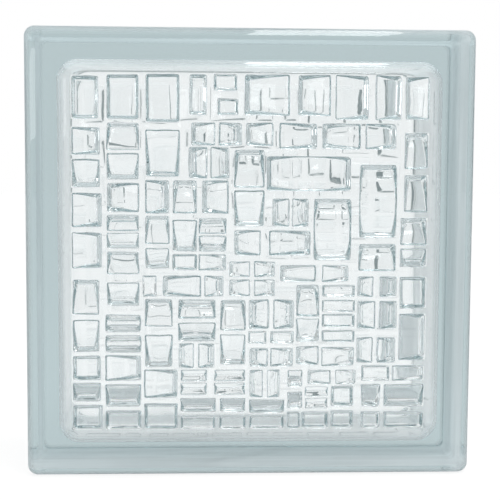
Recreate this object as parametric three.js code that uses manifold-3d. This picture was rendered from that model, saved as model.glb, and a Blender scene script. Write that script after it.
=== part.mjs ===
// Hollow glass block: two pressed half-shells fused mouth to mouth, with a mosaic of raised
// rectangles pressed into the inner side of each face.
//
// Millimetres. +Z is up, the front face looks towards -Y and the seam between the halves lies in the
// plane Y = 0. The origin is under the middle of the block, on the surface it stands on.

import * as THREE from 'three';
import { mergeVertices } from 'three/addons/utils/BufferGeometryUtils.js';
import Module from 'manifold-3d';

const wasm = await Module();
wasm.setup();

// ---- Outside of the block ----
const FACE_SIZE = 190;            // width and height of each face
const BLOCK_DEPTH = 80;           // from one face to the other
const FACE_CORNER_RADIUS = 4.5;   // corners of the square face
const FACE_EDGE_RADIUS = 6;       // rounding between a face and its lip
const LIP_DEPTH = 9;              // full-size rim behind each face, which rests on the block below
const KEY_DEPTH = 3;              // sinking of the mortar key between the lips
const KEY_RAMP = 3.5;             // run of the slope from the lip into the key
const BEAD_HEIGHT = 1.5;          // how far the fused seam stands out of the key
const BEAD_HALF_WIDTH = 3.5;      // from the seam to the foot of its bead
const BEAD_CREST = 1.5;           // flat crest of the bead, on each side of the seam

// ---- Inside of the block ----
const PANE_THICKNESS = 8;         // glass at the face, between the raised rectangles
const WALL_THICKNESS = 9.2;       // glass of the side walls, under the key, at the seam
const DRAFT_ANGLE = 3;            // degrees by which the plunger narrows towards the face
const CAVITY_CORNER_RADIUS = 9;   // vertical and horizontal corners of the hollow, at the seam
const CAVITY_FILLET = 5.1;        // rounding between the face and the side walls

// ---- Mosaic on the inner side of a face ----
const MOSAIC_MARGIN = 0.2;        // flat glass between the mosaic and the fillet
const RELIEF_HIGH = 2.2;          // height of a rectangle's thick end
const RELIEF_LEVEL = 1.7;         // height of a rectangle that is even all over
const RELIEF_LOW = 1.1;           // height of a rectangle's thin end
const RELIEF_WALL_ANGLE = 45;     // degrees between a rectangle's sides and the face
const RELIEF_ROOT = 1;            // how deep a rectangle is rooted in the pane

// ---- Smoothness ----
const CORNER_STEPS = 6;
const EDGE_STEPS = 4;
const CURVE_STEPS = 5;            // facets along a rectangle whose top is curved
const MOUTH_OVERRUN = 1;          // how far the plunger runs past the seam, so that the mouth is open

const radians = THREE.MathUtils.degToRad;

// ---- The mosaic's layout ----
// It is drawn on a square of this side, seen from the front, with distances from its upper left
// corner to the right and down. It is then stretched to the size of the mosaic.
const LAYOUT_SIDE = 150;

// A rectangle's kind says where its top rises: at one edge, at both ends, or in the middle.
const column = (left, right, cells) => cells.map(([top, bottom, kind]) => ({ left, right, top, bottom, kind }));
const row = (top, bottom, cells) => cells.map(([left, right, kind]) => ({ left, right, top, bottom, kind }));

const LAYOUT = [
  // Two columns down the left-hand side.
  ...column(0.5, 11.3, [[1.5, 19, 'level'], [86.3, 100.5, 'up'], [103.3, 116.5, 'down']]),
  ...column(0.5, 11.8, [[22.8, 33.8, 'right'], [36, 47.3, 'down'], [118.5, 128.5, 'level'], [130, 137.7, 'down']]),
  ...column(0.5, 12.5, [[50, 63.8, 'right'], [66.5, 81, 'right'], [139.5, 149.5, 'down']]),
  ...column(15, 28, [
    [1, 19, 'level'], [20.8, 31.7, 'up'], [33.5, 44, 'down'], [45.8, 57.5, 'left'], [59, 65.5, 'up'],
    [66.7, 72.7, 'down'], [74.3, 83.5, 'up'], [87.5, 97, 'down'],
  ]),
  ...column(14.2, 28.8, [
    [101, 108, 'dip'], [109.7, 116.8, 'dip'], [118.3, 128.7, 'right'], [130.7, 140, 'down'], [142, 149.5, 'down'],
  ]),

  // Upper left: tall rectangles, then pairs that meet in a narrow joint.
  ...column(31.2, 45, [[0.7, 20.2, 'level'], [23.7, 42.7, 'down']]),
  ...row(0.5, 17, [[49.3, 56.3, 'level'], [72.3, 90.7, 'left'], [94.7, 108, 'left']]),
  ...column(59.5, 69, [[0.3, 7, 'level']]),
  ...column(61, 69.3, [[10.5, 17, 'level']]),
  ...row(0.5, 18.5, [[110.5, 124, 'right'], [127.3, 138, 'right']]),
  ...row(20.5, 29.7, [[50, 59.7, 'left'], [61.7, 71, 'right'], [73, 84, 'left']]),
  ...row(20.5, 30.8, [[87, 102.5, 'right'], [105, 120.7, 'left'], [123.3, 136, 'right']]),
  ...row(30.7, 43.3, [[49, 56.5, 'left'], [58.3, 65.8, 'right']]),
  ...row(44.5, 58, [[31, 40.7, 'right'], [42.5, 52.2, 'up'], [54.7, 65.5, 'left']]),
  ...column(31, 40.7, [[58.8, 70.7, 'up'], [73, 81.2, 'down']]),
  ...column(42.4, 52.3, [[61.2, 74, 'down'], [75.5, 81.8, 'level']]),
  ...column(53.4, 64.6, [[60.3, 66.7, 'up'], [67.5, 74, 'down'], [75.5, 82, 'right']]),
  ...row(84.5, 93, [[29.8, 35.3, 'level'], [38.2, 54, 'left'], [55.8, 63.5, 'right']]),

  // Middle and right: the large curved rectangles and what surrounds them.
  ...column(68.2, 80.5, [[31.7, 47, 'up'], [48.7, 63.3, 'down']]),
  ...row(34.3, 48.3, [[81.8, 117, 'saddle']]),
  ...row(52, 63.3, [[84.2, 91, 'left'], [92.7, 99.3, 'right']]),
  ...column(101.8, 117.3, [[52, 77.5, 'dip']]),
  ...column(121, 136.4, [[37.7, 68, 'dip'], [71, 82, 'up']]),
  ...row(65.4, 75.5, [[68.2, 79, 'left'], [83, 100.2, 'right']]),
  ...row(78.5, 84.6, [[66.2, 74.6, 'left'], [76.8, 85.3, 'right']]),
  ...row(86.2, 92.7, [[66.2, 74.6, 'left'], [76.8, 85.3, 'right']]),
  ...row(80, 86.6, [[87.7, 102.5, 'left'], [105.6, 116.4, 'right']]),
  ...row(84.8, 93, [[120.5, 127, 'left'], [130.1, 137.3, 'right']]),
  ...row(95.3, 106.7, [[120.5, 128, 'left'], [130.1, 137.4, 'right']]),
  ...row(110.8, 121.3, [[120.5, 127, 'left'], [129.2, 137, 'right']]),

  // Column down the right-hand side.
  ...column(140, 149.5, [[1, 18.2, 'left'], [24.3, 38.8, 'up'], [42, 57, 'up']]),
  ...column(138.7, 149.5, [[60, 71, 'up'], [73, 80.3, 'down'], [85, 98, 'up'], [100.7, 120.2, 'down']]),

  // Lower left.
  ...column(30.8, 42.1, [[94.4, 105.6, 'up'], [109.6, 123, 'down']]),
  ...column(30.5, 44.2, [[124.4, 136.2, 'right'], [139, 149.5, 'down']]),
  ...column(44.8, 60.3, [[94.5, 102.3, 'up'], [104.5, 112, 'down']]),
  ...column(62.5, 72.9, [[94.7, 107.3, 'up'], [109.5, 122, 'down']]),
  ...row(113.3, 123.3, [[44.9, 51, 'left'], [53.3, 59.8, 'right']]),
  ...row(124.6, 129, [[46, 56.5, 'crown'], [60.2, 72.7, 'crown']]),
  ...row(130.2, 134.8, [[46, 56.5, 'crown'], [60.2, 72.7, 'crown']]),
  ...row(136.8, 142.4, [[45.9, 60.3, 'down'], [62.6, 72.8, 'down']]),
  ...row(144.4, 149.6, [[46, 60, 'down'], [62.4, 73, 'down'], [75.2, 89.3, 'down']]),

  // Lower middle and lower right.
  ...row(94.7, 106.7, [[74.5, 82.8, 'left'], [85, 93.5, 'right']]),
  ...row(108.1, 113, [[74.5, 81.8, 'level'], [83.8, 93.3, 'level']]),
  ...row(115.4, 122.9, [[75, 82.4, 'left'], [83.8, 93.3, 'right']]),
  ...column(94.7, 104.1, [[88.3, 101.4, 'up'], [102.8, 112.2, 'down'], [114.5, 122, 'left']]),
  ...column(105.7, 119.2, [
    [88.5, 93, 'level'], [94.9, 99.5, 'level'], [100.8, 105.9, 'level'], [107.8, 112.3, 'level'], [115, 122.7, 'right'],
  ]),
  ...row(124.7, 136, [[75, 80.3, 'left'], [82.7, 87.6, 'right']]),
  ...column(75, 89.5, [[137.5, 143, 'down']]),
  ...row(124.8, 130.4, [[99.7, 109.3, 'left'], [111.8, 120, 'right']]),
  ...column(91.3, 97.2, [[124.8, 131.6, 'down'], [134.2, 141, 'down']]),
  ...column(98.8, 108, [[132, 135.6, 'crown'], [137, 140.8, 'crown']]),
  ...column(109.8, 119.1, [[131.6, 140, 'level'], [142.3, 149.6, 'down']]),
  ...row(142.8, 149.6, [[91.3, 96.2, 'level'], [97.4, 108.3, 'down'], [122.8, 130.5, 'down'], [132.5, 149.2, 'down']]),
  ...row(122.9, 129, [[122.8, 134.4, 'level'], [136, 149, 'right']]),
  ...row(131, 140.3, [[122.8, 130.5, 'down'], [132.5, 149.2, 'down']]),
];

// ---- Shapes of the rectangles' tops ----
const rise = (t) => RELIEF_LOW + (RELIEF_HIGH - RELIEF_LOW) * t;
const hollow = (t) => RELIEF_LOW + (RELIEF_HIGH - RELIEF_LOW) * (2 * t - 1) ** 2;

// `height` gives the top's height along `run`, from left to right or from top to bottom.
const KINDS = {
  level: { run: 'down', steps: 1, height: () => RELIEF_LEVEL },
  down: { run: 'down', steps: 1, height: (t) => rise(t) },
  up: { run: 'down', steps: 1, height: (t) => rise(1 - t) },
  right: { run: 'across', steps: 1, height: (t) => rise(t) },
  left: { run: 'across', steps: 1, height: (t) => rise(1 - t) },
  dip: { run: 'down', steps: CURVE_STEPS, height: hollow },
  saddle: { run: 'across', steps: CURVE_STEPS, height: hollow },
  crown: { run: 'down', steps: CURVE_STEPS, height: (t) => RELIEF_HIGH - hollow(t) + RELIEF_LOW },
};

// ---- Sizes that follow ----
const HALF_FACE = FACE_SIZE / 2;
const HALF_DEPTH = BLOCK_DEPTH / 2;
const PANE_INNER_Y = -HALF_DEPTH + PANE_THICKNESS;
const MOUTH_HALF = HALF_FACE - KEY_DEPTH - WALL_THICKNESS;
const DRAFT_PER_MM = Math.tan(radians(DRAFT_ANGLE));
const MOSAIC_HALF = MOUTH_HALF + PANE_INNER_Y * DRAFT_PER_MM - CAVITY_FILLET - MOSAIC_MARGIN;

// A square with rounded corners, centred on the axis of the block, as a ring of points at depth y.
function squareRing(halfSide, cornerRadius, y) {
  const c = halfSide - cornerRadius;
  const outline = new THREE.Shape();
  outline.absarc(c, -c, cornerRadius, -Math.PI / 2, 0);
  outline.absarc(c, c, cornerRadius, 0, Math.PI / 2);
  outline.absarc(-c, c, cornerRadius, Math.PI / 2, Math.PI);
  outline.absarc(-c, -c, cornerRadius, Math.PI, 1.5 * Math.PI);
  return outline.getPoints(CORNER_STEPS).map((p) => new THREE.Vector3(p.x, y, p.y));
}

// Skins a stack of rings, which run anticlockwise as seen from the front, from front to back. Each end
// is closed by a ladder across the ring, so an end may be bent along its length.
function loft(rings) {
  const count = rings[0].length;
  const triangles = [];
  const add = (a, b, c) => triangles.push(a, b, c);
  for (let k = 0; k + 1 < rings.length; k += 1) {
    for (let i = 0; i < count; i += 1) {
      const j = (i + 1) % count;
      add(rings[k][i], rings[k + 1][i], rings[k][j]);
      add(rings[k][j], rings[k + 1][i], rings[k + 1][j]);
    }
  }
  const front = rings[0];
  const back = rings[rings.length - 1];
  for (let i = 0, j = count - 1; i + 1 < j; i += 1, j -= 1) {
    add(front[j], front[i], front[i + 1]);
    add(back[i + 1], back[i], back[j]);
    if (i + 1 < j - 1) {
      add(front[j], front[i + 1], front[j - 1]);
      add(back[j - 1], back[i + 1], back[j]);
    }
  }
  return solid(new THREE.BufferGeometry().setFromPoints(triangles));
}

function solid(geometry) {
  const merged = mergeVertices(geometry, 1e-5);
  return new wasm.Manifold(new wasm.Mesh({
    numProp: 3,
    vertProperties: new Float32Array(merged.attributes.position.array),
    triVerts: new Uint32Array(merged.index.array),
  }));
}

// Outer skin of a half: face, rounded edge, lip, slope, mortar key and half of the seam bead.
function mouldBody() {
  const faceY = -HALF_DEPTH;
  const rings = [];
  const ring = (inset, y) => rings.push(squareRing(HALF_FACE - inset, FACE_CORNER_RADIUS - Math.min(inset, FACE_CORNER_RADIUS / 2), y));
  for (let s = 0; s <= EDGE_STEPS; s += 1) {
    const a = (s / EDGE_STEPS) * (Math.PI / 2);
    ring(FACE_EDGE_RADIUS * (1 - Math.sin(a)), faceY + FACE_EDGE_RADIUS * (1 - Math.cos(a)));
  }
  ring(0, faceY + LIP_DEPTH);
  ring(KEY_DEPTH, faceY + LIP_DEPTH + KEY_RAMP);
  ring(KEY_DEPTH, -BEAD_HALF_WIDTH);
  ring(KEY_DEPTH - BEAD_HEIGHT, -BEAD_CREST);
  ring(KEY_DEPTH - BEAD_HEIGHT, 0);
  return loft(rings);
}

// The plunger that forms the hollow of a half: flat end, fillet, drafted sides, open mouth.
function plunger() {
  const halfAt = (y) => MOUTH_HALF + y * DRAFT_PER_MM;
  const rings = [];
  for (let s = 0; s <= EDGE_STEPS; s += 1) {
    const a = (s / EDGE_STEPS) * (Math.PI / 2);
    const y = PANE_INNER_Y + CAVITY_FILLET * (1 - Math.cos(a));
    const inset = CAVITY_FILLET * (1 - Math.sin(a));
    rings.push(squareRing(halfAt(y) - inset, CAVITY_CORNER_RADIUS - inset, y));
  }
  rings.push(squareRing(halfAt(MOUTH_OVERRUN), CAVITY_CORNER_RADIUS, MOUTH_OVERRUN));
  return loft(rings);
}

// One raised rectangle: its root in the pane, its foot on the pane and its top, whose sides lean in by
// as much as the top is high.
function tile({ left, right, top, bottom, kind }) {
  const stretch = (2 * MOSAIC_HALF) / LAYOUT_SIDE;
  const { run, steps, height } = KINDS[kind];
  const across = run === 'across';
  const [start, end] = across ? [left, right] : [top, bottom];
  const [near, far] = across ? [top, bottom] : [left, right];
  const leanPerHeight = 1 / Math.tan(radians(RELIEF_WALL_ANGLE));
  const room = Math.min(end - start, far - near) * stretch;
  const fit = Math.min(1, room / 3 / (RELIEF_HIGH * leanPerHeight));

  // A point of the rectangle, at a share t along its run, on its near or far side, at height h.
  const place = (t, side, h) => {
    const lean = (h * leanPerHeight) / stretch;
    const along = start + lean + (end - start - 2 * lean) * t;
    const beside = side === 0 ? near + lean : far - lean;
    const [u, v] = across ? [along, beside] : [beside, along];
    return new THREE.Vector3(u * stretch - MOSAIC_HALF, PANE_INNER_Y + h, MOSAIC_HALF - v * stretch);
  };
  // Stations along the two sides make the ring, one side taken backwards so that it runs round.
  const stations = Array.from({ length: steps + 1 }, (_, s) => s / steps);
  const ringAt = (heightAt) => {
    const nearSide = stations.map((t) => place(t, 0, heightAt(t)));
    const farSide = stations.map((t) => place(t, 1, heightAt(t)));
    return across ? [...nearSide.reverse(), ...farSide] : [...nearSide, ...farSide.reverse()];
  };
  const foot = ringAt(() => 0);
  const root = foot.map((p) => p.clone().setY(PANE_INNER_Y - RELIEF_ROOT));
  return loft([root, foot, ringAt((t) => height(t) * fit)]);
}

function halfShell() {
  let half = mouldBody().subtract(plunger());
  for (const cell of LAYOUT) {
    half = half.add(tile(cell));
  }
  const { vertProperties, triVerts } = half.getMesh();
  const geometry = new THREE.BufferGeometry();
  geometry.setAttribute('position', new THREE.BufferAttribute(vertProperties, 3));
  geometry.setIndex(new THREE.BufferAttribute(triVerts, 1));
  geometry.computeVertexNormals();
  return geometry;
}

const pressedGlass = new THREE.MeshStandardMaterial({
  name: 'pressed_glass',
  color: 0xdfe9ea,
  roughness: 0.03,
  metalness: 0,
  transparent: true,
  opacity: 0.35,
});

const half = halfShell();

const frontHalf = new THREE.Mesh(half, pressedGlass);
frontHalf.name = 'front_half';

const backHalf = new THREE.Mesh(half, pressedGlass);
backHalf.name = 'back_half';
backHalf.rotation.z = Math.PI;

const block = new THREE.Group();
block.name = 'glass_block';
block.position.z = HALF_FACE;
block.add(frontHalf, backHalf);

export default block;
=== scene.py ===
"""A hollow pressed-glass building block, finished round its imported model.

The real block is two moulded halves fused at a red heat, so here it is one skin of clear glass with a
sealed hollow in it. Both ends of the hollow carry a pressed mosaic of raised rectangles, and the four edge
faces wear the pale matt coat that mortar grips. Sizes are in millimetres and meshes in metres.
"""

from __future__ import annotations

import logging
import math
from dataclasses import dataclass, field
from enum import Enum
from typing import Iterable

import bmesh
import bpy
from mathutils import Matrix, Vector, noise

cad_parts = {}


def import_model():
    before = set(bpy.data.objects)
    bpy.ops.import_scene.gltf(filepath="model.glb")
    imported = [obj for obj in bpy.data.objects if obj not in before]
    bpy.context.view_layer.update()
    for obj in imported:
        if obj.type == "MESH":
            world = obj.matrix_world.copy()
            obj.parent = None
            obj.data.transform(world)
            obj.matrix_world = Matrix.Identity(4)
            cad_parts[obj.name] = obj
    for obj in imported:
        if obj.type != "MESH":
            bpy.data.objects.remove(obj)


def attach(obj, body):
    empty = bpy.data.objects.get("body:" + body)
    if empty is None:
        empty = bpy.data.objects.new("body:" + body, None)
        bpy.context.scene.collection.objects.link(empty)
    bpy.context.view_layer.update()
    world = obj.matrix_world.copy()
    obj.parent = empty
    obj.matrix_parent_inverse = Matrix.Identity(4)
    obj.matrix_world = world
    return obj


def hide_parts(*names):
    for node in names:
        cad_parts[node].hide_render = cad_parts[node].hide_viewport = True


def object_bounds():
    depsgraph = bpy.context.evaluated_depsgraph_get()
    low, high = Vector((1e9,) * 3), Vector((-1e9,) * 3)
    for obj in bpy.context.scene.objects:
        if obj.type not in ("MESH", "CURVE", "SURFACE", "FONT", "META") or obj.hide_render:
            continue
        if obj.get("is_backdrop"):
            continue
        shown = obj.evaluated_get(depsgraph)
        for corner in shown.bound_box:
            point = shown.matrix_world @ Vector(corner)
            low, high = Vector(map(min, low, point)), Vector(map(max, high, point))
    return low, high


LOG = logging.getLogger("glass_block")
MM = 0.001
EDGE_MARK = "edge_face"

# Two places count as one within NEAR, and within CUT_NEAR where the skin is cut.
NEAR = 1e-3
CUT_NEAR = 1e-4
# A ring of faces is first set in by this much, and only then gets its real place.
SEED_INSET = 0.01
# Where the second, upward part of the unevenness is read, in its own lengths.
ELSEWHERE = Vector((31.7, 12.3, 5.1))
# A noise texture seldom leaves this range.
NOISE_RANGE = (0.3, 0.7)


# ---------------------------------------------------------------- helpers


def linear(hex_colour: str) -> tuple[float, float, float, float]:
    """Turns an sRGB hex colour into linear values, by the curve of the sRGB standard.

    Args:
        hex_colour: Six hex digits after a hash sign.

    Returns:
        Red, green, blue and an alpha of 1.
    """
    channels = (int(hex_colour[i : i + 2], 16) / 255 for i in (1, 3, 5))
    values = [c / 12.92 if c <= 0.04045 else ((c + 0.055) / 1.055) ** 2.4 for c in channels]
    return values[0], values[1], values[2], 1.0


def add_node(
    tree: bpy.types.NodeTree,
    kind: str,
    settings: dict[str, object] | None = None,
    inputs: dict[str | int, object] | None = None,
) -> bpy.types.Node:
    """Adds a node, sets its properties and fills or links its inputs.

    Args:
        tree: The node tree that gets the node.
        kind: The node's type name.
        settings: Properties of the node itself.
        inputs: Socket names or numbers, each with a value or with an output socket to link from.

    Returns:
        The new node.
    """
    node = tree.nodes.new(kind)
    for name, value in (settings or {}).items():
        setattr(node, name, value)
    for key, value in (inputs or {}).items():
        socket = node.inputs[key]
        if isinstance(value, bpy.types.NodeSocket):
            tree.links.new(value, socket)
        else:
            socket.default_value = value
    return node


def round_edges(bm: bmesh.types.BMesh, edges: list[bmesh.types.BMEdge], radius: float, segments: int) -> None:
    """Rounds edges.

    Args:
        bm: The mesh.
        edges: The edges to round.
        radius: How far the rounding reaches, in millimetres.
        segments: Facets across the rounding.
    """
    bmesh.ops.bevel(
        bm, geom=edges, offset=radius, segments=segments, profile=0.5, affect="EDGES", material=-1
    )


def drift(place: Vector, length: float) -> Vector:
    """A smooth unevenness across the face.

    Args:
        place: Where to read it.
        length: Distance over which it changes, in the units of place.

    Returns:
        A sideways and upward shift of about -0.5 to 0.5.
    """
    spot = place / length
    return Vector((noise.noise(spot), 0, noise.noise(spot + ELSEWHERE)))


def ring_edges(bm: bmesh.types.BMesh, y: float) -> list[bmesh.types.BMEdge]:
    """Edges that lie in one upright plane across the block.

    Args:
        bm: The mesh.
        y: The plane's place, in millimetres.

    Returns:
        The edges with both ends in the plane.
    """
    return [edge for edge in bm.edges if all(abs(vert.co.y - y) < NEAR for vert in edge.verts)]


def edges_along(bm: bmesh.types.BMesh, least: float) -> list[bmesh.types.BMEdge]:
    """Edges that run from front to back.

    Args:
        bm: The mesh.
        least: The shortest run along Y that counts, in millimetres.

    Returns:
        The edges.
    """
    return [edge for edge in bm.edges if abs(edge.verts[0].co.y - edge.verts[1].co.y) > least]


# ---------------------------------------------------------------- the mosaic


class Top(Enum):
    """The shape of a raised rectangle's top: level, highest towards one side, or curved."""

    LEVEL = "level"
    UP = "up"
    DOWN = "down"
    LEFT = "left"
    RIGHT = "right"
    DIP = "dip"
    SADDLE = "saddle"
    CROWN = "crown"


@dataclass(frozen=True)
class Cell:
    """One raised rectangle, measured in millimetres from the mosaic's upper left corner."""

    left: float
    right: float
    top: float
    bottom: float
    kind: Top

    def middle(self, scale: float, half_side: float) -> Vector:
        """Where the rectangle's middle lies from the face's middle, to the right and upwards."""
        corner = Vector((-half_side, half_side))
        return Vector((self.left + self.right, -self.top - self.bottom)) / 2 * scale + corner

    def half_size(self, scale: float) -> Vector:
        """Half the rectangle's width and half its height."""
        return Vector((self.right - self.left, self.bottom - self.top)) / 2 * scale


def column(left: float, right: float, rows: Iterable[tuple[float, float, Top]]) -> list[Cell]:
    """Rectangles of one width, stacked below each other."""
    return [Cell(left, right, top, bottom, kind) for top, bottom, kind in rows]


def row(top: float, bottom: float, cells: Iterable[tuple[float, float, Top]]) -> list[Cell]:
    """Rectangles of one height, side by side."""
    return [Cell(left, right, top, bottom, kind) for left, right, kind in cells]


def mosaic_cells() -> list[Cell]:
    """The mosaic's layout on a square of Mosaic.layout_side, seen from outside the face.

    Returns:
        Every raised rectangle.
    """
    level, up, down, left, right = Top.LEVEL, Top.UP, Top.DOWN, Top.LEFT, Top.RIGHT
    dip, saddle, crown = Top.DIP, Top.SADDLE, Top.CROWN
    return [
        # Two columns down the left-hand side.
        *column(0.5, 11.3, [(1.5, 19, level), (86.3, 100.5, up), (103.3, 116.5, down)]),
        *column(0.5, 11.8, [
            (22.8, 33.8, right), (36, 47.3, down), (118.5, 128.5, level), (130, 137.7, down),
        ]),
        *column(0.5, 12.5, [(50, 63.8, right), (66.5, 81, right), (139.5, 149.5, level)]),
        *column(15, 28, [
            (1, 19, level), (20.8, 31.7, up), (33.5, 44, down), (45.8, 57.5, left), (59, 65.5, up),
            (66.7, 72.7, down), (74.3, 83.5, up), (87.5, 97, down),
        ]),
        *column(14.2, 28.8, [
            (101, 108, dip), (109.7, 116.8, dip), (118.3, 128.7, right), (130.7, 140, down),
            (142, 149.5, level),
        ]),
        # Upper left: tall rectangles, then pairs that meet in a narrow joint.
        *column(31.2, 45, [(0.7, 20.2, level), (23.7, 42.7, down)]),
        *row(0.5, 17, [(49.3, 56.3, level), (72.3, 90.7, left), (94.7, 108, left)]),
        *column(59.5, 69, [(0.3, 7, level)]),
        *column(61, 69.3, [(10.5, 17, level)]),
        *row(0.5, 18.5, [(110.5, 124, right), (127.3, 138, right)]),
        *row(20.5, 29.7, [(50, 59.7, left), (61.7, 71, right), (73, 84, left)]),
        *row(20.5, 30.8, [(87, 102.5, right), (105, 120.7, left), (123.3, 136, right)]),
        *row(30.7, 43.3, [(49, 56.5, left), (58.3, 65.8, right)]),
        *row(44.5, 58, [(31, 40.7, right), (42.5, 52.2, up), (54.7, 65.5, left)]),
        *column(31, 40.7, [(59.3, 70.7, up), (73, 81.2, down)]),
        *column(42.4, 52.3, [(61.2, 74, down), (75.5, 81.8, level)]),
        *column(53.4, 64.6, [(60.3, 66.4, up), (67.7, 74, down), (75.5, 82, right)]),
        *row(84.5, 93, [(29.8, 35.3, level), (38.2, 54, left), (55.8, 63.5, right)]),
        # Middle and right: the large curved rectangles and what surrounds them.
        *column(68.2, 80.5, [(31.7, 47, up), (48.7, 63.3, down)]),
        *row(34.3, 48.3, [(81.8, 117, saddle)]),
        *row(52, 63.3, [(84.2, 91, left), (92.7, 99.3, right)]),
        *column(101.8, 117.3, [(52, 77.5, dip)]),
        *column(121, 136.4, [(37.7, 68, dip), (71, 82, up)]),
        *row(65.4, 75.5, [(68.2, 79, left), (83, 100.2, right)]),
        *row(78.5, 84.6, [(66.2, 74.6, left), (76.8, 85.3, right)]),
        *row(86.2, 92.7, [(66.2, 74.6, left), (76.8, 85.3, right)]),
        *row(80, 86.6, [(87.7, 102.5, left), (105.6, 116.4, right)]),
        *row(84.8, 93, [(120.5, 127, left), (130.1, 137.3, right)]),
        *row(95.3, 106.7, [(120.5, 128, left), (130.1, 137.4, right)]),
        *row(110.8, 121.3, [(120.5, 127, left), (129.2, 137, right)]),
        # Column down the right-hand side.
        *column(140, 149.5, [(1, 18.2, left), (24.3, 38.8, up), (42, 57, up)]),
        *column(138.7, 149.5, [(60, 71, up), (73, 80.3, down), (85, 98, level), (100.7, 120.2, right)]),
        # Lower left.
        *column(30.8, 42.1, [(94.4, 105.6, up), (109.6, 123, down)]),
        *column(30.5, 44.2, [(124.4, 136.2, right), (139, 149.5, level)]),
        *column(44.8, 60.3, [(94.5, 102.3, up), (104.5, 112, down)]),
        *column(62.5, 72.9, [(94.7, 107.3, up), (109.5, 122, down)]),
        *row(113.3, 123.3, [(44.9, 51, left), (53.3, 59.8, right)]),
        *row(124.6, 129, [(46, 56.5, crown), (60.2, 72.7, crown)]),
        *row(130.2, 134.8, [(46, 56.5, crown), (60.2, 72.7, crown)]),
        *row(136.8, 142.4, [(45.9, 60.3, down), (62.6, 72.8, down)]),
        *row(144.4, 149.6, [(46, 60, level), (62.4, 73, level), (75.2, 89.3, level)]),
        # Lower middle and lower right.
        *row(94.7, 106.7, [(74.5, 82.8, left), (85, 93.5, right)]),
        *row(108.1, 113, [(74.5, 81.8, level), (83.8, 93.3, level)]),
        *row(115.4, 122.9, [(75, 82.4, left), (83.8, 93.3, right)]),
        *column(94.7, 104.1, [(88.3, 101.4, up), (102.8, 112.2, down), (114.5, 122, left)]),
        *column(105.7, 119.2, [
            (88.5, 93, level), (94.9, 99.5, level), (100.8, 105.9, level), (107.8, 112.3, level),
            (115, 122.7, right),
        ]),
        *row(124.7, 136, [(75, 80.3, left), (82.7, 87.6, right)]),
        *column(75, 89.5, [(137.5, 143, down)]),
        *row(124.8, 130.4, [(99.7, 109.3, left), (111.8, 120, right)]),
        *column(91.3, 97.2, [(124.8, 131.6, down), (134.2, 141, down)]),
        *column(98.8, 108, [(132, 135.6, crown), (137, 140.8, crown)]),
        *column(109.8, 119.1, [(131.6, 140, level), (142.3, 149.6, level)]),
        *row(142.8, 149.6, [
            (91.3, 96.2, level), (97.4, 108.3, level), (122.8, 130.5, level), (132.5, 149.2, level),
        ]),
        *row(122.9, 129, [(122.8, 134.4, level), (136, 149, right)]),
        *row(131, 140.3, [(122.8, 130.5, down), (132.5, 149.2, down)]),
    ]


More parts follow.
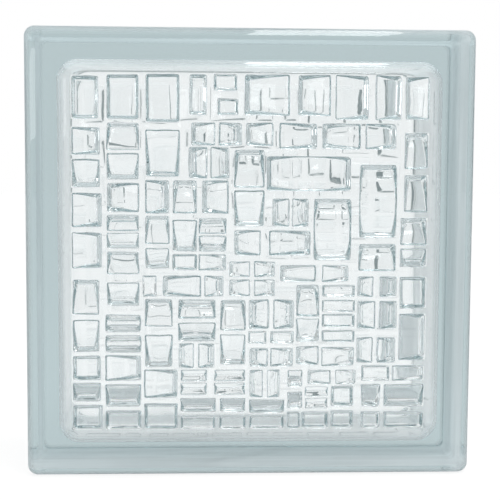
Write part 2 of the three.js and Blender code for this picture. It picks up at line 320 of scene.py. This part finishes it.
@dataclass(frozen=True)
class Mosaic:
    """The raised rectangles that the plunger pressed into the inner side of a pane."""

    layout_side: float = 150.0
    margin: float = 1.5
    raised: float = 0.1
    # Heights of the tops, and how much each top bulges or sinks towards its corners.
    high: float = 4.3
    level: float = 3.0
    low: float = 1.3
    dish: float = 0.6
    dish_spread: float = 9.0
    # The walls: their mean angle, and the widest one as a share of the rectangle's smaller side.
    wall_angle: float = 59.0
    widest_wall: float = 0.35
    grid: int = 8
    rings: int = 8
    # How far a foot reaches past the drawn outline, the flat apron round it, and the pull at its corners.
    spread: float = 0.35
    apron: float = 0.1
    corner_pull: float = 0.15
    # Unevenness along the pane and towards the hollow, each with the length over which it changes.
    wander: float = 0.25
    wander_length: float = 4.5
    ripple: float = 0.08
    ripple_length: float = 5.0

    def height(self, kind: Top, across: float, down: float) -> float:
        """Height of a rectangle's top.

        Args:
            kind: The top's shape.
            across: Place from -1 at the left side to 1 at the right.
            down: Place from -1 at the upper side to 1 at the lower.

        Returns:
            The height above the joints, in millimetres.
        """
        span = self.high - self.low
        heights = {
            Top.LEVEL: self.level,
            Top.UP: self.high - span * (down + 1) / 2,
            Top.DOWN: self.low + span * (down + 1) / 2,
            Top.LEFT: self.high - span * (across + 1) / 2,
            Top.RIGHT: self.low + span * (across + 1) / 2,
            Top.DIP: self.low + span * down * down,
            Top.SADDLE: self.low + span * across * across,
            Top.CROWN: self.high - span * down * down,
        }
        return heights[kind]

    def press(self, bm: bmesh.types.BMesh, pane_y: float, half_side: float) -> None:
        """Adds the raised rectangles to the inner side of the front pane.

        Args:
            bm: The mesh that gets them.
            pane_y: The pane's inner side.
            half_side: Half the mosaic's side.
        """
        across_layer = bm.verts.layers.float.new("across")
        down_layer = bm.verts.layers.float.new("down")
        ring_layer = bm.verts.layers.int.new("ring")
        cell_layer = bm.verts.layers.int.new("cell")
        walls = set(bm.verts)
        scale = 2 * half_side / self.layout_side
        cells = mosaic_cells()
        lying = Matrix.Rotation(-math.pi / 2, 4, "X")
        faces: list[bmesh.types.BMFace] = []
        for number, cell in enumerate(cells):
            middle = cell.middle(scale, half_side) + Vector((0, self.raised))
            half = cell.half_size(scale)
            place = Matrix.Translation((middle.x, pane_y, middle.y)) @ lying
            verts = bmesh.ops.create_grid(
                bm, x_segments=self.grid, y_segments=self.grid, size=1.0,
                matrix=place @ Matrix.Diagonal((half.x, half.y, 1, 1)),
            )["verts"]
            for vert in verts:
                vert[across_layer] = math.sin(math.pi / 2 * (vert.co.x - middle.x) / half.x)
                vert[down_layer] = math.sin(math.pi / 2 * (middle.y - vert.co.z) / half.y)
                vert[cell_layer] = number
            faces += dict.fromkeys(face for vert in verts for face in vert.link_faces)
        for ring in range(1, self.rings + 1):
            bmesh.ops.inset_region(
                bm, faces=faces, thickness=SEED_INSET, use_boundary=True, use_even_offset=True
            )
            for face in faces:
                for vert in face.verts:
                    vert[ring_layer] = ring
        lean_rate = 1 / math.tan(math.radians(self.wall_angle))
        for vert in bm.verts:
            if vert in walls:
                continue
            cell = cells[vert[cell_layer]]
            middle = cell.middle(scale, half_side) + Vector((0, self.raised))
            half = cell.half_size(scale)
            across = vert[across_layer]
            down = vert[down_layer]
            share = min(1.0, self.widest_wall * 2 * min(half) / (self.high * lean_rate))
            hollowed = noise.noise(Vector((middle.x, 0, middle.y)) / self.dish_spread) * self.dish
            top = (self.height(cell.kind, across, down) + hollowed * (across * across + down * down)) * share
            step = max(0, vert[ring_layer] - 1)
            part = step / (self.rings - 1)
            rise = part * part * (3 - 2 * part)
            lean = top * lean_rate * part - self.spread
            if vert[ring_layer] == 0:
                lean -= self.apron
            if abs(across * down) > 1 - NEAR:
                lean += self.corner_pull
            vert.co = Vector((
                middle.x + across * (half.x - lean),
                pane_y + top * rise,
                middle.y - down * (half.y - lean),
            ))
            lift = noise.noise(vert.co / self.ripple_length) * self.ripple * part
            vert.co += drift(vert.co, self.wander_length) * self.wander + Vector((0, lift, 0))


# ---------------------------------------------------------------- the glass


@dataclass(frozen=True)
class Outside:
    """The moulded outside: flat faces, a lip round each and a sunken mortar key between the lips."""

    # The corners between the edge faces, and the share of their radius that the key's floor takes away.
    corner_radius: float = 4.5
    corner_steps: int = 12
    tightest: float = 0.5
    # The radius of the edge round each face.
    front_edge: float = 6.0
    back_edge: float = 3.0
    edge_steps: int = 14
    # A narrow rim inside the face's edge, as a share of the corner radius, keeps the face's gloss flat.
    rim: float = 0.125
    lip_depth: float = 9.0
    key_depth: float = 3.0
    key_ramp: float = 3.5
    bead_height: float = 1.5
    bead_half_width: float = 3.5
    bead_crest: float = 1.5
    # The key's bends are rounded over this much to each side.
    soften: float = 6.0
    soften_steps: int = 12
    station_step: float = 1.0
    # How far behind each face the coat starts, the depth over which it thickens, and its full share.
    front_coat: tuple[float, float] = (0.5, 3.0)
    back_coat: tuple[float, float] = (0.05, 1.5)
    cover: float = 0.9

    def drawn_inset(self, half_depth: float, y: float) -> float:
        """How far the mortar key lies inside the lips, with every bend sharp.

        Args:
            half_depth: Half the block's thickness, in millimetres.
            y: Distance from the middle, in millimetres.

        Returns:
            The distance in millimetres.
        """
        lip = half_depth - self.lip_depth
        bends = (
            (self.bead_crest, self.key_depth - self.bead_height),
            (self.bead_half_width, self.key_depth),
            (lip - self.key_ramp, self.key_depth),
            (lip, 0.0),
        )
        depth = bends[0][1]
        for (near, near_depth), (far, far_depth) in zip(bends, bends[1:]):
            share = max(0.0, min(1.0, (abs(y) - near) / (far - near)))
            depth += (far_depth - near_depth) * share
        return depth

    def inset(self, half_depth: float, y: float) -> float:
        """How far the skin lies inside the lips, with the key's bends softened and the face's edge rounded.

        Args:
            half_depth: Half the block's thickness, in millimetres.
            y: Distance from the middle, in millimetres.

        Returns:
            The distance in millimetres.
        """
        radius = self.front_edge if y < 0 else self.back_edge
        over = max(0.0, abs(y) - (half_depth - radius))
        rounding = radius - math.sqrt(max(0.0, radius ** 2 - over ** 2))
        steps = range(-self.soften_steps, self.soften_steps + 1)
        shifts = [step / self.soften_steps * self.soften for step in steps]
        return rounding + sum(self.drawn_inset(half_depth, y + shift) for shift in shifts) / len(shifts)

    def stations(self, half_depth: float) -> list[float]:
        """Where the skin is cut so that its bends and its face edges come out round.

        Args:
            half_depth: Half the block's thickness, in millimetres.

        Returns:
            Distances from the middle, in millimetres, on both sides of it.
        """
        places = set()
        for side, radius in ((-1, self.front_edge), (1, self.back_edge)):
            flat = half_depth - radius
            count = round(flat / self.station_step)
            places |= {side * flat * step / count for step in range(count)}
            for step in range(self.edge_steps):
                places.add(side * (flat + radius * math.sin(math.pi / 2 * step / self.edge_steps)))
        return sorted(places)

    def build(self, half_face: float, half_depth: float) -> bmesh.types.BMesh:
        """Makes the closed outer skin round the origin.

        Args:
            half_face: Half the face's side.
            half_depth: Half the block's thickness.

        Returns:
            The skin, with its edge faces marked.
        """
        bm = bmesh.new()
        bmesh.ops.create_cube(bm, size=2.0, matrix=Matrix.Diagonal((half_face, half_depth, half_face, 1)))
        round_edges(bm, edges_along(bm, half_depth), self.corner_radius, self.corner_steps)
        stations = self.stations(half_depth)
        for station in stations:
            everything = bm.verts[:] + bm.edges[:] + bm.faces[:]
            bmesh.ops.bisect_plane(
                bm, geom=everything, dist=CUT_NEAR, plane_co=(0, station, 0), plane_no=(0, 1, 0)
            )
        arc = half_face - self.corner_radius
        crest = min(self.inset(half_depth, station) for station in stations)
        for vert in bm.verts:
            inset = self.inset(half_depth, vert.co.y) - crest
            radius = self.corner_radius * (1 - self.tightest * min(1.0, inset / self.key_depth))
            out = Vector((vert.co.x, 0, vert.co.z))
            core = Vector((max(-arc, min(arc, out.x)), 0, max(-arc, min(arc, out.z))))
            place = core * (half_face - inset - radius) / arc + (out - core).normalized() * radius
            vert.co = Vector((place.x, vert.co.y, place.z))
        bmesh.ops.recalc_face_normals(bm, faces=bm.faces[:])
        ends = [face for face in bm.faces if abs(face.calc_center_median().y) > half_depth - NEAR]
        bmesh.ops.inset_individual(
            bm, faces=ends, thickness=self.corner_radius * self.rim, use_even_offset=True
        )
        coat = bm.verts.layers.float.new(EDGE_MARK)
        for vert in bm.verts:
            start, fade = self.front_coat if vert.co.y < 0 else self.back_coat
            share = (half_depth - start - abs(vert.co.y)) / fade
            vert[coat] = max(0.0, min(1.0, share)) * self.cover
        for face in bm.faces:
            face.smooth = True
        return bm


@dataclass(frozen=True)
class Hollow:
    """The sealed hollow, with the mosaic on both its ends."""

    pane: float = 8.0
    wall: float = 8.8
    draft: float = 3.0
    corner_radius: float = 9.0
    fillet: float = 4.2
    round_steps: int = 12
    # A narrow rim round the pane, as a share of the mosaic's margin.
    rim: float = 0.25
    # How far the outline sways, over what length, and how many fillets deep the sway dies out.
    sway: float = 0.5
    sway_length: float = 14.0
    sway_reach: float = 2.0
    mosaic: Mosaic = field(default_factory=Mosaic)

    def build(self, half_face: float, half_depth: float, outside: Outside) -> bmesh.types.BMesh:
        """Makes the skin round the hollow, facing into it.

        Args:
            half_face: Half the face's side.
            half_depth: Half the block's thickness.
            outside: The outside that the walls are measured from.

        Returns:
            The closed skin.
        """
        mouth = half_face - outside.key_depth - self.wall
        pane_y = self.pane - half_depth
        end = mouth + pane_y * math.tan(math.radians(self.draft))
        bm = bmesh.new()
        place = Matrix.Translation((0, pane_y / 2, 0))
        bmesh.ops.create_cube(bm, size=2.0, matrix=place @ Matrix.Diagonal((mouth, -pane_y / 2, mouth, 1)))
        opening = [face for face in bm.faces if abs(face.calc_center_median().y) < NEAR]
        bmesh.ops.delete(bm, geom=opening, context="FACES_ONLY")
        pane_verts = [vert for vert in bm.verts if abs(vert.co.y - pane_y) < NEAR]
        bmesh.ops.scale(bm, verts=pane_verts, vec=(end / mouth, 1, end / mouth))
        round_edges(bm, edges_along(bm, -pane_y / 2), self.corner_radius, self.round_steps)
        round_edges(bm, ring_edges(bm, pane_y), self.fillet, self.round_steps)
        pane = min(bm.faces, key=lambda face: face.calc_center_median().y)
        bmesh.ops.inset_individual(
            bm, faces=[pane], thickness=self.mosaic.margin * self.rim, use_even_offset=True
        )
        bmesh.ops.delete(bm, geom=[pane], context="FACES_ONLY")
        for vert in bm.verts:
            share = max(0.0, 1 - (vert.co.y - pane_y) / (self.sway_reach * self.fillet))
            vert.co += drift(vert.co, self.sway_length) * self.sway * share
        self.mosaic.press(bm, pane_y, end - self.fillet - self.mosaic.margin)
        rim = [edge for edge in ring_edges(bm, pane_y) if edge.is_boundary]
        bmesh.ops.triangle_fill(bm, edges=rim, use_beauty=True, use_dissolve=False, normal=(0, 1, 0))
        twin = bmesh.ops.duplicate(bm, geom=bm.verts[:] + bm.edges[:] + bm.faces[:])["geom"]
        bmesh.ops.rotate(
            bm,
            verts=[part for part in twin if isinstance(part, bmesh.types.BMVert)],
            cent=(0, 0, 0),
            matrix=Matrix.Rotation(math.pi, 3, "Z"),
        )
        bmesh.ops.remove_doubles(bm, verts=[v for v in bm.verts if abs(v.co.y) < NEAR], dist=NEAR)
        bmesh.ops.recalc_face_normals(bm, faces=bm.faces[:])
        bmesh.ops.reverse_faces(bm, faces=bm.faces[:])
        for face in bm.faces:
            face.smooth = True
        LOG.info("hollow: %d open edges", sum(not edge.is_manifold for edge in bm.edges))
        return bm


@dataclass(frozen=True)
class EdgeCoat:
    """White coat that makes mortar stick to the edge faces: milky, brushed on along the edges.

    To the eye it turns the clear edges into pale, dully shining ones that let some light through.
    """

    colour: str = "#F4FAFC"
    see_through: float = 0.62
    uneven: float = 0.15
    roughness: float = 0.15
    refraction: float = 1.6
    # Brush marks, as long and as wide as a broad brush leaves them.
    streak_length: float = 60.0
    streak_width: float = 7.0
    streak_detail: float = 3.0

    def shader(self, tree: bpy.types.NodeTree, place: bpy.types.NodeSocket) -> bpy.types.NodeSocket:
        """Adds the coat's nodes.

        Args:
            tree: The material that gets them.
            place: Object coordinates.

        Returns:
            The coat's surface.
        """
        lengths = (self.streak_length, self.streak_width, self.streak_length)
        grain = add_node(tree, "ShaderNodeMapping", inputs={
            "Vector": place, "Scale": tuple(1 / (length * MM) for length in lengths),
        })
        streaks = add_node(tree, "ShaderNodeTexNoise", inputs={
            "Vector": grain.outputs[0], "Scale": 1.0, "Detail": self.streak_detail,
        })
        thin = add_node(tree, "ShaderNodeMapRange", inputs={
            "Value": streaks.outputs[0], "From Min": NOISE_RANGE[0], "From Max": NOISE_RANGE[1],
            "To Min": self.see_through - self.uneven, "To Max": self.see_through + self.uneven,
        })
        body = add_node(tree, "ShaderNodeBsdfPrincipled", inputs={
            "Base Color": linear(self.colour), "Roughness": self.roughness, "IOR": self.refraction,
        })
        glow = add_node(tree, "ShaderNodeBsdfTranslucent", inputs={"Color": linear(self.colour)})
        return add_node(tree, "ShaderNodeMixShader", inputs={
            "Fac": thin.outputs[0], 1: body.outputs[0], 2: glow.outputs[0],
        }).outputs[0]


@dataclass(frozen=True)
class PressedGlass:
    """Soda-lime glass, pressed and fire-polished: clear, a little blue-green in depth, faintly uneven.

    To the eye its slopes are bright and dark lines, and its thick walls are blue-grey.
    """

    refraction: float = 1.52
    skin_colour: str = "#FFFFFF"
    depth_colour: str = "#BED1D4"
    density: float = 19.5
    # The mould's faint unevenness, left after the fire polish.
    ripple_length: float = 7.0
    ripple: float = 0.012
    ripple_detail: float = 2.0
    coat: EdgeCoat = field(default_factory=EdgeCoat)

    def material(self) -> bpy.types.Material:
        """Makes the material, with the coat where the mesh is marked with it.

        Returns:
            The material.
        """
        material = bpy.data.materials.new("edge_coated_pressed_glass")
        material.use_nodes = True
        tree = material.node_tree
        tree.nodes.clear()
        place = add_node(tree, "ShaderNodeTexCoord")
        ripple = add_node(tree, "ShaderNodeTexNoise", inputs={
            "Vector": place.outputs["Object"], "Scale": 1 / (self.ripple_length * MM),
            "Detail": self.ripple_detail,
        })
        bump = add_node(tree, "ShaderNodeBump", inputs={
            "Height": ripple.outputs[0], "Distance": self.ripple * MM, "Strength": 1.0,
        })
        clear = add_node(tree, "ShaderNodeBsdfPrincipled", inputs={
            "Base Color": linear(self.skin_colour), "Roughness": 0.0, "IOR": self.refraction,
            "Transmission Weight": 1.0, "Normal": bump.outputs[0],
        })
        coated = add_node(tree, "ShaderNodeAttribute", {"attribute_name": EDGE_MARK})
        surface = add_node(tree, "ShaderNodeMixShader", inputs={
            "Fac": coated.outputs["Fac"], 1: clear.outputs[0],
            2: self.coat.shader(tree, place.outputs["Object"]),
        })
        depth = add_node(tree, "ShaderNodeVolumeAbsorption", inputs={
            "Color": linear(self.depth_colour), "Density": self.density,
        })
        add_node(tree, "ShaderNodeOutputMaterial", inputs={
            "Surface": surface.outputs[0], "Volume": depth.outputs[0],
        })
        return material


@dataclass(frozen=True)
class GlassBlock:
    """The whole block."""

    outside: Outside = field(default_factory=Outside)
    hollow: Hollow = field(default_factory=Hollow)
    glass: PressedGlass = field(default_factory=PressedGlass)

    def build(self, low: Vector, high: Vector) -> bpy.types.Object:
        """Makes the block and puts it in place of the two packed halves.

        Args:
            low: The block's lowest corner, in metres.
            high: The block's highest corner, in metres.

        Returns:
            The finished piece.
        """
        size = (high - low) / MM
        mesh = bpy.data.meshes.new("glass_block")
        inner = self.hollow.build(size.x / 2, size.y / 2, self.outside)
        inner.to_mesh(mesh)
        inner.free()
        skin = self.outside.build(size.x / 2, size.y / 2)
        skin.from_mesh(mesh)
        skin.transform(Matrix.Translation((low + high) / 2) @ Matrix.Scale(MM, 4))
        skin.normal_update()
        skin.to_mesh(mesh)
        skin.free()
        mesh.materials.append(self.glass.material())
        piece = bpy.data.objects.new("glass_block", mesh)
        bpy.context.scene.collection.objects.link(piece)
        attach(piece, "root")
        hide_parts("front_half", "back_half")
        mesh.calc_loop_triangles()
        LOG.info("%s: %d triangles", piece.name, len(mesh.loop_triangles))
        return piece


# ---------------------------------------------------------------- the studio


@dataclass(frozen=True)
class Softbox:
    """A soft light above or beside the block, which shines down until it is turned."""

    name: str
    place: tuple[float, float, float]
    turn: tuple[float, float, float]
    size: tuple[float, float]
    radiance: float

    def light(self) -> None:
        """Hangs the light."""
        data = bpy.data.lights.new(self.name, "AREA")
        data.shape = "RECTANGLE"
        data.size, data.size_y = (side * MM for side in self.size)
        data.energy = self.radiance * math.pi * data.size * data.size_y
        light = bpy.data.objects.new(self.name, data)
        bpy.context.scene.collection.objects.link(light)
        light.location = Vector(self.place) * MM
        light.rotation_euler = tuple(math.radians(angle) for angle in self.turn)


@dataclass(frozen=True)
class Studio:
    """A white room with a soft light above the block and one at its left, and a camera in front."""

    viewpoint: tuple[float, float, float] = (-28.0, -530.0, 130.0)
    azimuth: float = -2.8
    elevation: float = 4.83
    roll: float = 0.31
    lens: float = 84.16
    shift: tuple[float, float] = (0.0168, 0.04)
    sensor_width: float = 36.0
    sight: float = 50.0
    # The room's tones by direction, from -1 behind the camera to 1 behind the block.
    walls: tuple[tuple[float, str], ...] = (
        (-0.97, "#FFFFFF"), (-0.94, "#B4B4B4"), (-0.75, "#B4B4B4"), (-0.5, "#FFFFFF"),
        (0.25, "#FFFFFF"), (0.40, "#7C888A"), (0.62, "#7C888A"), (0.74, "#FFFFFF"),
    )
    # The floor's half side in metres, and what it adds for the eye to come out white.
    floor_half: float = 6.0
    floor_colour: str = "#808080"
    floor_glow: float = 0.845
    # How often light is followed through the glass, from face to face, and through the coat.
    glass_bounces: int = 32
    glossy_bounces: int = 16
    coat_bounces: int = 20
    softboxes: tuple[Softbox, ...] = (
        Softbox("top_softbox", (112, -156, 790), (0, 0, 0), (150, 690), 6.0),
        Softbox("left_softbox", (-450, -450, 203), (90, 0, -45), (500, 80), 2.5),
    )

    def world(self) -> None:
        """Makes the room that the glass shows: white, with grey behind the camera and in a ring."""
        world = bpy.data.worlds.new("studio")
        bpy.context.scene.world = world
        world.use_nodes = True
        tree = world.node_tree
        tree.nodes.clear()
        place = add_node(tree, "ShaderNodeTexCoord")
        split = add_node(tree, "ShaderNodeSeparateXYZ", inputs={0: place.outputs["Generated"]})
        turn = add_node(tree, "ShaderNodeMapRange", inputs={
            "Value": split.outputs["Y"], "From Min": -1.0, "From Max": 1.0,
        })
        tone = add_node(tree, "ShaderNodeValToRGB", inputs={"Fac": turn.outputs[0]})
        ramp = tone.color_ramp
        ramp.interpolation = "EASE"
        while len(ramp.elements) < len(self.walls):
            ramp.elements.new(1.0)
        for stop, (towards, colour) in zip(ramp.elements, self.walls):
            stop.position = (towards + 1) / 2
            stop.color = linear(colour)
        room = add_node(tree, "ShaderNodeBackground", inputs={"Color": tone.outputs[0], "Strength": 1.0})
        add_node(tree, "ShaderNodeOutputWorld", inputs={"Surface": room.outputs[0]})

    def floor(self) -> None:
        """Lays the pale floor: matt card that the eye sees as white and that keeps the block's shadow."""
        bm = bmesh.new()
        bmesh.ops.create_grid(bm, x_segments=1, y_segments=1, size=self.floor_half)
        mesh = bpy.data.meshes.new("floor")
        bm.to_mesh(mesh)
        bm.free()
        floor = bpy.data.objects.new("floor", mesh)
        bpy.context.scene.collection.objects.link(floor)
        material = bpy.data.materials.new("white_floor")
        material.use_nodes = True
        tree = material.node_tree
        tree.nodes.clear()
        matt = add_node(tree, "ShaderNodeBsdfDiffuse", inputs={"Color": linear(self.floor_colour)})
        path = add_node(tree, "ShaderNodeLightPath")
        seen = path.outputs["Is Camera Ray"]
        for ray in ("Is Transmission Ray", "Is Glossy Ray"):
            either = add_node(tree, "ShaderNodeMath", {"operation": "MAXIMUM"}, {
                0: seen, 1: path.outputs[ray],
            })
            seen = either.outputs[0]
        strength = add_node(tree, "ShaderNodeMath", {"operation": "MULTIPLY"}, {0: seen, 1: self.floor_glow})
        glow = add_node(tree, "ShaderNodeEmission", inputs={
            "Color": (1, 1, 1, 1), "Strength": strength.outputs[0],
        })
        both = add_node(tree, "ShaderNodeAddShader", inputs={0: matt.outputs[0], 1: glow.outputs[0]})
        add_node(tree, "ShaderNodeOutputMaterial", inputs={"Surface": both.outputs[0]})
        mesh.materials.append(material)
        floor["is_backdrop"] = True

    def camera(self) -> None:
        """Sets the camera up in front of the block, a little to the left and above its middle."""
        data = bpy.data.cameras.new("camera")
        data.sensor_width = self.sensor_width
        data.lens = self.lens
        data.shift_x, data.shift_y = self.shift
        data.clip_end = self.sight
        camera = bpy.data.objects.new("camera", data)
        bpy.context.scene.collection.objects.link(camera)
        azimuth = math.radians(self.azimuth)
        elevation = math.radians(self.elevation)
        back = Vector((
            math.sin(azimuth) * math.cos(elevation),
            -math.cos(azimuth) * math.cos(elevation),
            math.sin(elevation),
        ))
        camera.location = Vector(self.viewpoint) * MM
        roll = Matrix.Rotation(math.radians(self.roll), 3, "Z").to_quaternion()
        camera.rotation_euler = ((-back).to_track_quat("-Z", "Y") @ roll).to_euler()
        bpy.context.scene.camera = camera

    def set_up(self) -> None:
        """Builds the room and sets how light is traced."""
        self.world()
        self.floor()
        for softbox in self.softboxes:
            softbox.light()
        self.camera()
        scene = bpy.context.scene
        scene.view_settings.view_transform = "Standard"
        scene.cycles.max_bounces = self.glass_bounces
        scene.cycles.transmission_bounces = self.glass_bounces
        scene.cycles.glossy_bounces = self.glossy_bounces
        scene.cycles.diffuse_bounces = self.coat_bounces


def main() -> None:
    """Builds the block and its studio."""
    logging.basicConfig(level=logging.INFO, format="%(name)s: %(message)s")
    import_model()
    cad_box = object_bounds()
    GlassBlock().build(*cad_box)
    Studio().set_up()


if __name__ == "__main__":
    main()
